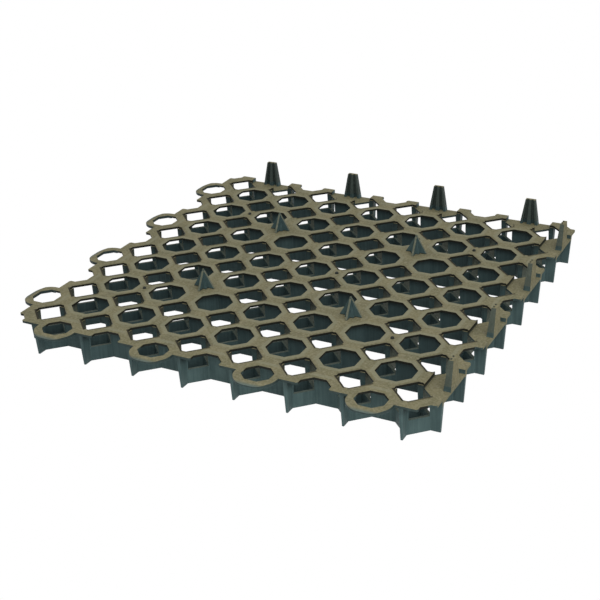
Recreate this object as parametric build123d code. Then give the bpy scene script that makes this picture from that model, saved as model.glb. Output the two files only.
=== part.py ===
"""Grass paver grid: one moulded plastic tile of octagon and diamond cells.

The tile lies as it is photographed: a perforated face plate on top, and the cell
walls hanging below it, whose lower rims stand on the floor. Two edges carry
rounded loops and the other two carry sunk ledges with fluted pegs, so that the
loops of one tile drop over the pegs of the next.

Lengths are in millimetres. The origin is the middle of the footprint, on the floor.
"""
import math
import os

from build123d import *

# Tile and cells
cells = 8                  # cells along each side of the square module
pitch = 62.5               # spacing of the octagon cells
height = 39.0              # floor to the top of the face plate
plate_thickness = 2.5
wall_at_plate = 4.6        # cell wall, where it meets the plate
wall_at_rim = 2.2          # the same wall at its lower rim
edge_draft = 2.0           # how far the wall ends lean in from the edges, down to the rim

# Openings in the face plate
octagon_hole = 40.5        # across its flats
diamond_hole = 31.0        # across its flats
diamond_hole_flat = 24.2   # length of one flat, between the blunt corners
window_width = 20.5        # of the window that opens a diamond's wall under each flat
sill_depth = 22.4          # from the plate's top down to the sill of a window
edge_notch = 34.0          # across the flats of the half octagons along the edges
corner_notch = 28.0        # across the flats of the one at each corner
notch_chamfer = 1.5        # where a notch meets the edge

# Loops, and the ledges that take the next tile's loops
loop_width = 48.0          # outside, along the edge
loop_reach = 22.5          # outside, beyond the edge
loop_radius = 20.0         # of its two outer corners
loop_thickness = 3.4       # at the hole, from the plate's top down
loop_slope_run = 7.0       # width of the sloping band along the loop's outer side
loop_slope_drop = 1.6      # how far that band falls to the outer edge
loop_hole_width = 32.5
loop_hole_inner = 16.0     # how far the hole runs in from the edge
loop_hole_outer = 14.0     # and out from it
loop_hole_chamfer = 9.0
ledge_drop = 4.8           # from the plate's top down to the ledge
ledge_width = 58.0         # along the edge
ledge_inset = 26.6         # in from the edge, more than the reach of a loop

# Pegs on the ledges
peg_height = 33.0
peg_width_base = 23.0
peg_width_top = 12.5
peg_depth_base = 8.0
peg_depth_top = 5.0
peg_back = 2.6             # thickness of the flat back
peg_rib_share = 0.22       # width of the middle rib over the peg's width
peg_side_share = 0.14      # and of each side rib

# Spikes on the face plate
spike_height = 23.5
spike_span = 27.5
spike_blade = 2.4
spike_core = 11.0          # width of the four-sided core between the blades
spike_diamonds = (2, 5)    # which diamonds along each side carry a spike

module = cells * pitch
low_edge = (loop_reach - module) / 2
high_edge = low_edge + module
plate_underside = height - plate_thickness
ledge_top = height - ledge_drop
ledge_underside = ledge_top - plate_thickness
sill_level = height - sill_depth
diamond_side = pitch * (math.sqrt(2) - 1)
through = 1.0              # how far a cutter runs past the face it cuts

FRONT, RIGHT, BACK, LEFT = range(4)
joined_places = range(1, cells, 2)      # octagons on the edges with a loop or a ledge
open_places = range(0, cells + 1, 2)    # octagons on the edges with a plain notch


def octagon_place(k):
    """Octagon k along a side: 0 and cells lie on the module's edges."""
    return low_edge + k * pitch


def diamond_place(k):
    """Diamond k along a side, from 0 to cells - 1."""
    return low_edge + (k + 0.5) * pitch


def octagon(across_flats):
    """A regular octagon with its flats square to the axes."""
    radius = across_flats / 2 / math.cos(math.pi / 8)
    return Rot(0, 0, 22.5) * RegularPolygon(radius, 8)


def square_on_point(across_flats):
    """A square standing on its corner."""
    return Rot(0, 0, 45) * Rectangle(across_flats, across_flats)


def blunt_square(across_flats, flat):
    """A square on its corner, cut to leave flats of the given length."""
    half_diagonal = (across_flats + flat) / 2 / math.sqrt(2)
    return square_on_point(across_flats) & Rectangle(2 * half_diagonal, 2 * half_diagonal)


def prism(profile, level, top):
    """A profile raised from one level to another."""
    return extrude(Pos(0, 0, level) * profile, amount=top - level, dir=(0, 0, 1))


def cell(outline, width, roof):
    """The drafted hollow of a cell, from below the floor up to its roof."""
    draft = (wall_at_plate - wall_at_rim) / plate_underside
    below = Pos(0, 0, -through) * outline(width - wall_at_rim + through * draft)
    above = Pos(0, 0, roof) * outline(width - wall_at_rim - roof * draft)
    return loft([below.face(), above.face()], ruled=True)


def loop_hole():
    """The eight-sided hole of a loop, lying across the edge line, the X axis."""
    outline = Rectangle(loop_hole_width, loop_hole_inner + loop_hole_outer)
    middle = Pos(0, (loop_hole_inner - loop_hole_outer) / 2)
    return middle * chamfer(outline.vertices(), loop_hole_chamfer)


def loop():
    """A loop reaching out from the X axis, its top sloping down along its outer side."""
    outer = RectangleRounded(loop_width, 2 * loop_reach, loop_radius)
    ring = prism(outer, height - loop_thickness, height) - prism(loop_hole(), 0, height + through)
    ring -= Pos(0, module / 2, 0) * Box(module, module, 3 * height)
    brow = loop_reach - loop_slope_run
    beyond = loop_reach + loop_slope_run
    wedge = Polygon(
        (-brow, height),
        (-beyond, height - 2 * loop_slope_drop),
        (-beyond, height + through),
        (-brow, height + through),
        align=None,
    )
    return ring - extrude(Plane.YZ * wedge, amount=loop_width, both=True)


def at_edges(piece, places, edges):
    """Copies of a piece drawn on the X axis, set along each of the edges given."""
    centre = (low_edge + high_edge) / 2
    copies = []
    for edge in edges:
        turn = Pos(centre, centre) * Rot(0, 0, 90 * edge) * Pos(-centre, -centre)
        copies += [turn * Pos(octagon_place(k), low_edge) * piece for k in places]
    return copies


def notch(across_flats, edge_turns):
    """An octagon for the open edges, which cuts off its corners at each edge."""
    half = across_flats / 2
    corners = Polygon(
        (-half - notch_chamfer - through, -through),
        (half + notch_chamfer + through, -through),
        (half, notch_chamfer),
        (-half, notch_chamfer),
        align=None,
    )
    return octagon(across_flats) + [Rot(0, 0, turn) * corners for turn in edge_turns]


def hollow_tools():
    """Everything that is cut from the solid tile, in groups that don't overlap."""
    open_cell = cell(octagon, pitch, plate_underside)
    octagon_tool = open_cell + prism(octagon(octagon_hole), sill_level, height + through)
    notch_tool = open_cell + prism(notch(edge_notch, [0]), sill_level, height + through)
    corner = notch(corner_notch, [0, -90])
    corner_tool = open_cell + prism(corner, sill_level, height + through)
    loop_tool = open_cell + prism(loop_hole(), sill_level, height + through)
    ledge_tool = cell(octagon, pitch, ledge_underside)

    # the core that makes a diamond's hole also takes the tops off its walls
    core = prism(blunt_square(diamond_hole, window_width), sill_level, plate_underside)
    hole = blunt_square(diamond_hole, diamond_hole_flat)
    diamond_cell = cell(square_on_point, diamond_side, plate_underside)
    diamond_tool = diamond_cell + core + prism(hole, plate_underside, height + through)

    octagons = []
    diamonds = []
    for i in range(1, cells):
        for j in range(1, cells):
            octagons.append(Pos(octagon_place(i), octagon_place(j)) * octagon_tool)
    for i in range(cells):
        for j in range(cells):
            spiked = i in spike_diamonds and j in spike_diamonds
            tool = diamond_cell if spiked else diamond_tool
            diamonds.append(Pos(diamond_place(i), diamond_place(j)) * tool)
    edge_tools = at_edges(corner_tool, open_places[:1], [FRONT, RIGHT, BACK, LEFT])
    edge_tools += at_edges(notch_tool, open_places[1:-1], [FRONT, RIGHT, BACK, LEFT])
    edge_tools += at_edges(loop_tool, joined_places, [FRONT, LEFT])
    edge_tools += at_edges(ledge_tool, joined_places, [RIGHT, BACK])

    recess = Pos(0, (ledge_inset - through) / 2) * Rectangle(ledge_width, ledge_inset + through)
    recess_tool = prism(recess, ledge_top, height + through)
    recesses = at_edges(recess_tool, joined_places, [RIGHT, BACK])
    return octagons + edge_tools, diamonds, recesses


def slab(outline, thickness):
    """An upright slab on the X axis, from an outline drawn in X and Z."""
    return extrude(Plane.XZ * Polygon(*outline, align=None), amount=thickness / 2, both=True)


def spike():
    """A pointed spike of crossed blades with a four-sided core between them."""
    blade = slab([(-spike_span / 2, 0), (spike_span / 2, 0), (0, spike_height)], spike_blade)
    foot = Rectangle(spike_core, spike_core).face()
    core = loft([foot, Vertex(0, 0, spike_height)], ruled=True)
    return blade + Rot(0, 0, 90) * blade + core


def peg_outline(left, right):
    """An outline that narrows with the peg, between two shares of its width."""
    return [
        (left * peg_width_base, 0),
        (right * peg_width_base, 0),
        (right * peg_width_top, peg_height),
        (left * peg_width_top, peg_height),
    ]


def peg():
    """A peg with its flat back on the X axis and two flutes down its inner side."""
    side = Polygon((0, 0), (peg_depth_base, 0), (peg_depth_top, peg_height), (0, peg_height), align=None)
    body = extrude(Plane.YZ * side, amount=peg_width_base, both=True)
    body = body & slab(peg_outline(-0.5, 0.5), 3 * peg_depth_base)
    rib = peg_rib_share / 2
    wall = 0.5 - peg_side_share
    for left, right in ((rib, wall), (-wall, -rib)):
        flute = slab(peg_outline(left, right), 2 * peg_depth_base)
        body -= Pos(0, peg_back + peg_depth_base, 0) * flute
    return body


def paver():
    """The whole tile."""
    centre = (low_edge + high_edge) / 2
    plate = prism(Pos(centre, centre) * Rectangle(module, module), plate_underside, height)
    foot = Pos(centre, centre) * Rectangle(module - 2 * edge_draft, module - 2 * edge_draft)
    head = Pos(centre, centre, plate_underside) * Rectangle(module, module)
    tile = plate + loft([foot.face(), head.face()], ruled=True)
    for tools in hollow_tools():
        tile = tile - tools
    pieces = at_edges(loop(), joined_places, [FRONT, LEFT])
    pieces += at_edges(Pos(0, 0, ledge_top - 0.5) * peg(), joined_places, [RIGHT, BACK])
    for i in spike_diamonds:
        for j in spike_diamonds:
            place = Pos(diamond_place(i), diamond_place(j), height - 0.5)
            pieces.append(place * spike())
    return tile + pieces


os.makedirs("parts", exist_ok=True)
export_step(paver(), "parts/paver_grid.step")
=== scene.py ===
"""A grass paver grid on a pale floor: the moulded tile, its finish and the studio."""
import math

import bpy
from mathutils import Matrix, Vector


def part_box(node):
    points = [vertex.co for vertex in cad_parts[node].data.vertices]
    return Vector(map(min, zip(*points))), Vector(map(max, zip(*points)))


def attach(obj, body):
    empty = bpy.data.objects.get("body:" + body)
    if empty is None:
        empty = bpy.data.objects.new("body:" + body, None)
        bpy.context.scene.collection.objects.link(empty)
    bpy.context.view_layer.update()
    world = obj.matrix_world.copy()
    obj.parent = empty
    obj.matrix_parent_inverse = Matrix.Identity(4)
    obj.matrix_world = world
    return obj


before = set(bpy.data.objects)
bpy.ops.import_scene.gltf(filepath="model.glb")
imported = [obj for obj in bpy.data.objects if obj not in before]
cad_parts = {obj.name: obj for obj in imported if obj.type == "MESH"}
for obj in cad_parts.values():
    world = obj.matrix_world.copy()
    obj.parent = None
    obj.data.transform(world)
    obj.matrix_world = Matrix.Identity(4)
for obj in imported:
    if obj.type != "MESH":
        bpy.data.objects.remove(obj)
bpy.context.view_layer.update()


# The tile is one moulding of dark recycled plastic. Its upward faces have gone a dull
# tan-olive with dust and wear, and its upright faces keep the cool dark green-grey of
# the plastic, so the finish follows which way a face looks and how high it lies. The
# finish also holds painted light: painted shade in the cells, under the plate and round
# the diamond holes, painted highlights on the octagon holes' rims, and painted warm
# light on faces that look right.

# Where things lie
tile_low, tile_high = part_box("paver_grid")
pitch = 0.0625               # spacing of the cells
cells = 8                    # along each side
half_side = cells * pitch / 2
plate_low = tile_high[0] - 2 * half_side     # the front and left edges, where the loops begin
plate_top = 0.039
plate_thickness = 0.0025
spike_place = 1.5 * pitch    # of the four spikes, out from the plate's middle along each side
loop_slope_drop = 0.0016     # how far the outer band of a loop falls
peg_strip = 0.0085           # the strip along the back and right edges where the pegs stand
peg_strip_fade = 0.00085
outer_walls = 0.0135         # depth of the wall ends along the front edge, whose sides have no painted warm light
outer_cells = 0.0320         # depth of the front and right half cells, which light gets into
outer_faces = 0.0015         # depth of what counts as the front and left edges
edge_strip = 0.0200          # along all edges, where the holes have no painted rim highlight
skin = 0.0001                # depth of what counts as the plate's top face
fade = 0.001                 # over which most parts of the finish begin or end
cell_fade = 0.01 * pitch     # over which the marks round the holes stop, at edges and spikes
up_slant = (0.25, 0.75)      # how far up a face looks, where its dust begins and is full
right_slant = (0.70, 0.95)   # and how far to the right, where the painted warm light begins and is full
diagonal = math.sqrt(0.5)    # what a step along one side counts for along the diagonal

# Depths under the plate's top, in thicknesses of the plate, where a mask begins and is full
above_depths = (0, -0.5)     # of all that stands higher than the plate
full_dust_depths = (4, 2)    # of the full dust on what looks up
right_peg_depths = (4, 3)    # of the painted warm light on the right pegs, from their ledges up
under_depths = (6, 1)        # of the painted shade on the walls, close under the plate of the painted shade on the sides of the plate's holes
side_depths = (1.5, 1)       # of the dirt on the sides of the plate's holes

# Patterns: the scale of each per metre, and which part of it counts, from none to full
patch_scale = 45.0           # patches of about two centimetres
patch_part = (0.3, 0.7)
patch_part_upright = (0.35, 0.7)
stain_scale = 190.0          # stains of about half a centimetre
stain_part = (0.5, 0.72)
grain_scale = 380.0          # specks of two or three millimetres, and streaks down the walls
grain_part = (0.35, 0.75)
streak_part = (0.3, 0.7)
streak_share = 0.6           # how much of the walls' pattern is streaks, and not patches

# Colours
upright_dark = (0.050, 0.084, 0.084)
upright_light = (0.086, 0.136, 0.132)
# painted shade, deep in the cells and on spikes and pegs
shade_blue = (0.012, 0.026, 0.032)
# painted shade under the plate and round the holes, and the torn gate stubs' own dark brown
brown_shade_and_tear = (0.008, 0.007, 0.004)
top_stain = (0.080, 0.076, 0.045)
top_olive = (0.113, 0.109, 0.058)
top_tan = (0.149, 0.137, 0.073)
top_pale = (0.284, 0.258, 0.173)
# painted highlight on the rounded rims of the octagon holes
rim_highlight = (0.205, 0.203, 0.138)
stain_strength = 0.6
grain_strength = 0.65

# Dust, with painted warm light on faces that look right and painted shade on the loops' slopes
slope_shade = 0.8             # how much darker the sloping band of a loop is painted, as shade
sill_dust = 0.3              # on the window sills, deep in the cells
side_warm_light = 0.4              # painted warm light on the faces inside the cells that look to the right
peg_warm_light = 0.95              # painted warm light on the right pegs' faces that look to the right
film_dust = 0.16             # on all faces of the back pegs, and twice as much on the right ones

# Painted shade: dark brown under the plate, on the sides of its holes and on the pegs, and blue inside
# the cells
under_strength = 0.6
side_strength = 0.95
edge_less_shade = 0.4             # how much less painted shade there is on the loops and the front and left edges
peg_foot_less_shade = 0.6              # how much less painted shade there is at the feet of the pegs
peg_shade = 0.25              # painted shade on the pegs, but not on the right ones' faces that look right
painted_shade_strength = 0.38         # of the painted blue shade inside the cells, and on spikes and pegs
back_peg_shade = 0.3           # how much more of the painted shade the back pegs have
left_fade = 0.32             # from the left, how far the walls along the front have the painted shade too
side_light = 0.5             # how much less painted shade the cells along the right edge have

# Painted highlights and shade round the holes
rim_reach = 0.0240           # out from an octagon's middle, where its painted rim highlight begins to fade
rim_width = 0.0020
rim_highlight_strength = 0.5
shoulder_start = 0.0140      # out from a diamond's middle, inside its hole
shoulder_end = 0.0171
shoulder_fade = 0.0008
shoulder_half_length = 0.0130
shoulder_shade = {(1, 1): 0.12, (-1, 1): 0.22, (-1, -1): 0.90, (1, -1): 0.68}   # painted shade of a shallow sunk step, by steps right and back

# Surface
relief_strength = 0.25
relief_height = 0.0004
roughness_upright = 0.5
roughness_top = 0.75
gloss = 0.12


class Shade:
    """One socket of a material. Operators add Math nodes, and make() any other node."""

    def __init__(self, tree, socket=None):
        self.tree = tree
        self.socket = socket

    def make(self, kind, sockets=None, out=0, **settings):
        node = self.tree.nodes.new(kind)
        for name, value in settings.items():
            setattr(node, name, value)
        for name, value in (sockets or {}).items():
            if isinstance(value, Shade):
                self.tree.links.new(value.socket, node.inputs[name])
            else:
                node.inputs[name].default_value = value
        return Shade(self.tree, node.outputs[out] if node.outputs else None)

    def maths(self, operation, other=0.0):
        return self.make("ShaderNodeMath", {0: self, 1: other}, operation=operation)

    def __add__(self, other):
        return self.maths("ADD", other)

    def __sub__(self, other):
        return self.maths("SUBTRACT", other)

    def __rsub__(self, other):
        return self.make("ShaderNodeMath", {0: other, 1: self}, operation="SUBTRACT")

    def __mul__(self, other):
        return self.maths("MULTIPLY", other)

    def __mod__(self, other):
        return self.maths("FLOORED_MODULO", other)

    __radd__ = __add__
    __rmul__ = __mul__

    def size(self):
        return self.maths("ABSOLUTE")

    def larger(self, other):
        return self.maths("MAXIMUM", other)

    def smaller(self, other):
        return self.maths("MINIMUM", other)

    def between(self, low, high):
        """0 at low and below, 1 at high and above, with a soft start and end."""
        return self.make(
            "ShaderNodeMapRange",
            {"Value": self, "From Min": low, "From Max": high},
            interpolation_type="SMOOTHSTEP",
        )

    def noise(self, place, scale, detail=3.0, roughness=0.55):
        return self.make(
            "ShaderNodeTexNoise",
            {"Vector": place, "Scale": scale, "Detail": detail, "Roughness": roughness},
        )

    def blend(self, share, first, second):
        """Mixes two colours, each a socket or a plain red, green and blue."""
        colours = [c if isinstance(c, Shade) else (*c, 1) for c in (first, second)]
        return self.make(
            "ShaderNodeMix", {0: share, 6: colours[0], 7: colours[1]}, out=2, data_type="RGBA"
        )


class Spot:
    """Where a spot of the plastic lies and which way it faces, as places and masks."""

    def __init__(self, shade):
        self.place = shade.make("ShaderNodeTexCoord", out="Object")
        facing = shade.make("ShaderNodeTexCoord", out="Normal")
        up = shade.make("ShaderNodeSeparateXYZ", {0: facing}, out="Z")
        right = shade.make("ShaderNodeSeparateXYZ", {0: facing}, out="X")
        self.faces_up = up.between(*up_slant)
        self.faces_right = right.between(*right_slant)
        self.x, self.y, self.level = (
            shade.make("ShaderNodeSeparateXYZ", {0: self.place}, out=axis) for axis in "XYZ"
        )
        self.above = self.from_depth(*above_depths)
        on_top = self.level.between(plate_top - 2 * skin, plate_top - skin)
        self.on_plate = on_top * (1 - self.above)
        strip_start = tile_high[0] - peg_strip
        self.at_right, self.at_back = (
            value.between(strip_start, strip_start + peg_strip_fade) for value in (self.x, self.y)
        )
        self.at_pegs = self.at_right.larger(self.at_back)
        outer_end = plate_low + outer_faces
        self.outside = 1 - self.x.smaller(self.y).between(outer_end, outer_end + fade)

    def from_depth(self, start, end):
        """0 up to one depth under the plate's top and 1 from another, in plate thicknesses."""
        return self.level.between(plate_top - start * plate_thickness, plate_top - end * plate_thickness)


def plate_marks(spot):
    """Two masks for the plate's top: painted highlights on the rounded rims of the octagon
    holes, and painted shade on the shoulders round the diamond holes, where a shallow sunk
    step would lie. The four diamonds with a spike have no shoulder."""
    from_middle = [value - (plate_low + half_side) for value in (spot.x, spot.y)]
    aside, ahead = (value % pitch - pitch / 2 for value in from_middle)
    far_x, far_y = (value.size() for value in from_middle)
    to_spikes = (far_x - spike_place).size().larger((far_y - spike_place).size())
    is_open = to_spikes.between(pitch / 2 - cell_fade, pitch / 2)
    strip_start = half_side - edge_strip
    at_edges = far_x.larger(far_y).between(strip_start - cell_fade, strip_start)

    across, along = (pitch / 2 - value.size() for value in (aside, ahead))
    to_octagon = across.larger(along).larger((across + along) * diagonal)
    rim_highlights = (1 - to_octagon.between(rim_reach, rim_reach + rim_width)) * (1 - at_edges)

    bands = []
    for (to_right, to_back), shade_share in shoulder_shade.items():
        outward = (aside * to_right + ahead * to_back) * diagonal
        sideways = ((aside * to_back - ahead * to_right) * diagonal).size()
        band = outward.between(shoulder_start, shoulder_start + fade)
        band *= 1 - outward.between(shoulder_end, shoulder_end + shoulder_fade)
        band *= 1 - sideways.between(shoulder_half_length, shoulder_half_length + fade)
        bands.append(band * shade_share)
    return rim_highlights * spot.on_plate, sum(bands) * is_open * spot.on_plate


def dust_and_warm_light_on(spot):
    """Dust on all that looks up, painted warm light on some faces that look right, and a film of dust on
    the pegs; the loops' sloping bands get less of all, as painted shade.
    """
    on_top = spot.faces_up * (sill_dust + spot.from_depth(*full_dust_depths) * (1 - sill_dust))
    inside = spot.y.between(plate_low + outer_walls, plate_low + outer_walls + fade)
    inside = inside * (1 - spot.above) * (1 - spot.at_pegs)
    right_pegs = spot.from_depth(*right_peg_depths) * spot.at_right
    # faces that look right get painted warm light
    warm_light_sides = spot.faces_right * (inside * side_warm_light + right_pegs * peg_warm_light)
    film = spot.above * (spot.at_pegs + spot.at_right) * film_dust
    # the loops' sloping bands get less of it, as painted shade
    flat = spot.level.between(plate_top - loop_slope_drop, plate_top - 3 * skin)
    slope = spot.outside * (1 - flat)
    return (on_top + warm_light_sides + film) * (1 - slope * slope_shade)


def painted_shade_on(spot):
    """Painted shade on the walls close under the plate, on the sides of its holes and on the pegs."""
    under = spot.from_depth(*under_depths) * under_strength
    shade_share = under.larger(spot.from_depth(*side_depths) * side_strength)
    less_shade = (spot.at_pegs * spot.faces_right.larger(peg_foot_less_shade)).larger(spot.outside * edge_less_shade)
    on_pegs = spot.above * spot.at_pegs * (1 - spot.faces_right * spot.at_right) * peg_shade
    return (shade_share * (1 - spot.above) * (1 - less_shade) + on_pegs) * (1 - spot.faces_up)


def painted_shade_in(spot):
    """Painted blue shade in all cells that are shut off from the light, and on spikes and pegs."""
    in_shade = spot.y.between(plate_low + outer_cells - fade, plate_low + outer_cells)
    open_start = tile_high[0] - outer_cells
    in_shade = in_shade * (1 - spot.x.between(open_start, open_start + fade) * side_light)
    in_shade = in_shade.larger(1 - spot.x.between(tile_low[0], tile_low[0] + left_fade))
    return in_shade.larger(spot.above) * painted_shade_strength + spot.above * spot.at_back * back_peg_shade


def plastic(name, worn_top, torn):
    """Moulded plastic: dark on upright faces, dusty on top by one share, torn by the other, with painted
    shade, painted rim highlights and painted warm light.
    """
    material = bpy.data.materials.new(name)
    material.use_nodes = True
    tree = material.node_tree
    tree.nodes.clear()
    shade = Shade(tree)
    spot = Spot(shade)
    patches = shade.noise(spot.place, patch_scale, detail=4.0)
    stains = shade.noise(spot.place, stain_scale)
    grain = shade.noise(spot.place, grain_scale, detail=4.0, roughness=0.75)
    streaks = shade.noise(shade.make("ShaderNodeCombineXYZ", {"X": spot.x, "Y": spot.y}), grain_scale)

    light = patches.between(*patch_part_upright) * (1 - streak_share)
    light = light + streaks.between(*streak_part) * streak_share
    upright = shade.blend(light, upright_dark, upright_light)
    # painted blue shade inside the cells and on spikes and pegs
    upright = shade.blend(painted_shade_in(spot), upright, shade_blue)
    top = shade.blend(patches.between(*patch_part), top_olive, top_tan)
    top = shade.blend(stains.between(*stain_part) * stain_strength, top, top_stain)
    top = shade.blend(grain.between(*grain_part) * grain_strength, top, top_pale)
    rim_highlights, shoulders = plate_marks(spot)
    # painted highlights on the octagon holes' rims, and painted shade on the diamonds' shoulders
    top = shade.blend(rim_highlights * rim_highlight_strength, top, rim_highlight)
    top = shade.blend(shoulders, top, brown_shade_and_tear)
    # dust on top, and painted warm light on faces that look right
    dust_and_light = dust_and_warm_light_on(spot) * worn_top
    colour = shade.blend(dust_and_light, upright, top)
    # painted shade under the plate, on the holes' sides and on the pegs, and the torn stubs' own dark
    # brown, whichever is more
    colour = shade.blend(painted_shade_on(spot).larger(torn), colour, brown_shade_and_tear)

    relief = shade.make(
        "ShaderNodeBump",
        {"Height": grain + patches, "Strength": relief_strength, "Distance": relief_height},
    )
    surface = shade.make(
        "ShaderNodeBsdfPrincipled",
        {
            "Base Color": colour,
            "Roughness": roughness_upright + dust_and_light * (roughness_top - roughness_upright),
            "Normal": relief,
            "Specular IOR Level": gloss,
        },
    )
    shade.make("ShaderNodeOutputMaterial", {"Surface": surface})
    return material


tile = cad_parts["paver_grid"]
tile.data.materials.clear()
tile.data.materials.append(plastic("moulded_plastic_worn", worn_top=1.0, torn=0.0))


# Gate marks are the short torn stubs where the plastic was fed into the mould. They are
# the tile's own plastic, on the top of the plate midway between two cells.

gate_cells = [(1.5, 2), (6.5, 2), (4.5, 4), (1.5, 6), (6.5, 6)]   # in from the left and the front
gate_radius = 0.0023
gate_tip_radius = 0.00161
gate_height = 0.0018
gate_sides = 10


def gate_tree():
    """Sets a stub on every point of the mesh that the tree is given."""
    tree = bpy.data.node_groups.new("gate_stubs", "GeometryNodeTree")
    face = tree.interface
    face.new_socket("Geometry", in_out="INPUT", socket_type="NodeSocketGeometry")
    for name, value in (("Radius", gate_radius), ("Tip", gate_tip_radius), ("Height", gate_height)):
        face.new_socket(name, in_out="INPUT", socket_type="NodeSocketFloat").default_value = value
    face.new_socket("Sides", in_out="INPUT", socket_type="NodeSocketInt").default_value = gate_sides
    face.new_socket("Plastic", in_out="INPUT", socket_type="NodeSocketMaterial")
    face.new_socket("Geometry", in_out="OUTPUT", socket_type="NodeSocketGeometry")
    given = tree.nodes.new("NodeGroupInput").outputs

    def add(kind, **sockets):
        node = tree.nodes.new(kind)
        for name, value in sockets.items():
            tree.links.new(value, node.inputs[name.replace("_", " ")])
        return node.outputs[0]

    stub = add(
        "GeometryNodeMeshCone", Vertices=given["Sides"], Depth=given["Height"],
        Radius_Top=given["Tip"], Radius_Bottom=given["Radius"],
    )
    stubs = add("GeometryNodeInstanceOnPoints", Points=given["Geometry"], Instance=stub)
    whole = add("GeometryNodeRealizeInstances", Geometry=stubs)
    done = add("GeometryNodeSetMaterial", Geometry=whole, Material=given["Plastic"])
    result = tree.nodes.new("NodeGroupOutput")
    tree.links.new(done, result.inputs["Geometry"])
    return tree


def made_by(tree, name, points, **inputs):
    """A plain mesh that a geometry tree makes from a list of points."""
    mesh = bpy.data.meshes.new(name)
    mesh.from_pydata(points, [], [])
    piece = bpy.data.objects.new(name, mesh)
    bpy.context.collection.objects.link(piece)
    modifier = piece.modifiers.new(name, "NODES")
    modifier.node_group = tree
    for item in tree.interface.items_tree:
        if item.in_out == "INPUT" and item.name in inputs:
            modifier[item.identifier] = inputs[item.name]
    seen = piece.evaluated_get(bpy.context.evaluated_depsgraph_get())
    piece.data = bpy.data.meshes.new_from_object(seen)
    piece.modifiers.clear()
    return piece


gate_points = [(plate_low + i * pitch, plate_low + j * pitch, plate_top) for i, j in gate_cells]
gate_plastic = plastic("moulded_plastic_bare", worn_top=0.2, torn=0.85)
gate_marks = made_by(gate_tree(), "gate_marks", gate_points, Plastic=gate_plastic)
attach(gate_marks, "root")


# The studio is a plain floor under soft light: an even sky all round, and one wide lamp
# above the tile's right side. To the camera the floor is plain white, as in the photo.

floor_size = 12.0
floor_colour = (0.5, 0.5, 0.5)
sky_strength = 0.78
lamp_power = 23.0
lamp_size = 1.6
lamp_place = (1.1, -1.2, 1.2)


def seen_directly(shade):
    """1 for what the camera, a reflection or glass looks at, and 0 for other light."""
    rays = ("Is Camera Ray", "Is Glossy Ray", "Is Transmission Ray")
    camera, reflection, glass = (shade.make("ShaderNodeLightPath", out=ray) for ray in rays)
    return camera.larger(reflection).larger(glass)


floor_mesh = bpy.data.meshes.new("floor")
half = floor_size / 2
floor_mesh.from_pydata(
    [(-half, -half, 0), (half, -half, 0), (half, half, 0), (-half, half, 0)], [], [(0, 1, 2, 3)]
)
floor = bpy.data.objects.new("floor", floor_mesh)
bpy.context.collection.objects.link(floor)
floor_finish = bpy.data.materials.new("floor_white")
floor_finish.use_nodes = True
floor_finish.node_tree.nodes.clear()
shade = Shade(floor_finish.node_tree)
painted = shade.make("ShaderNodeBsdfDiffuse", {"Color": (*floor_colour, 1)})
glowing = shade.make("ShaderNodeEmission", {"Color": (1, 1, 1, 1), "Strength": 1.0})
both = shade.make("ShaderNodeMixShader", {0: seen_directly(shade), 1: painted, 2: glowing})
shade.make("ShaderNodeOutputMaterial", {"Surface": both})
floor_mesh.materials.append(floor_finish)

world = bpy.data.worlds.new("soft_sky")
bpy.context.scene.world = world
world.use_nodes = True
world.node_tree.nodes.clear()
shade = Shade(world.node_tree)
brightness = sky_strength + seen_directly(shade) * (1 - sky_strength)
sky = shade.make("ShaderNodeBackground", {"Color": (1, 1, 1, 1), "Strength": brightness})
shade.make("ShaderNodeOutputWorld", {"Surface": sky})

lamp_light = bpy.data.lights.new("wide_lamp", "AREA")
lamp_light.energy = lamp_power
lamp_light.size = lamp_size
lamp = bpy.data.objects.new("wide_lamp", lamp_light)
lamp.location = lamp_place
lamp.rotation_mode = "QUATERNION"
lamp.rotation_quaternion = (-Vector(lamp_place)).to_track_quat("-Z", "Y")
bpy.context.collection.objects.link(lamp)


# The camera stands in front of the tile and to its right, and looks down on it, as the
# photograph does. Its angles were fitted to the pattern of the cells.

camera_sensor = 36.0         # mm wide
camera_lens = 73.392         # mm
camera_nearest = 0.05
camera_farthest = 50.0
camera_target = Vector((0.01802, -0.03702, 0.021))
camera_distance = 1.41995
camera_azimuth = math.radians(28.0986)
camera_elevation = math.radians(25.7630)
camera_roll = math.radians(2.0896)

back = Vector((
    math.sin(camera_azimuth) * math.cos(camera_elevation),
    -math.cos(camera_azimuth) * math.cos(camera_elevation),
    math.sin(camera_elevation),
))
side = (-back).cross(Vector((0, 0, 1))).normalized()
up = side.cross(-back)
rolled_up = up * math.cos(camera_roll) + side * math.sin(camera_roll)
rolled_side = side * math.cos(camera_roll) - up * math.sin(camera_roll)
camera_data = bpy.data.cameras.new("camera")
camera_data.lens = camera_lens
camera_data.sensor_width = camera_sensor
camera_data.clip_start = camera_nearest
camera_data.clip_end = camera_farthest
camera = bpy.data.objects.new("camera", camera_data)
camera.rotation_mode = "QUATERNION"
camera.location = camera_target + back * camera_distance
camera.rotation_quaternion = Matrix((rolled_side, rolled_up, back)).transposed().to_quaternion()
bpy.context.collection.objects.link(camera)
bpy.context.scene.camera = camera
bpy.context.scene.view_settings.view_transform = "Standard"
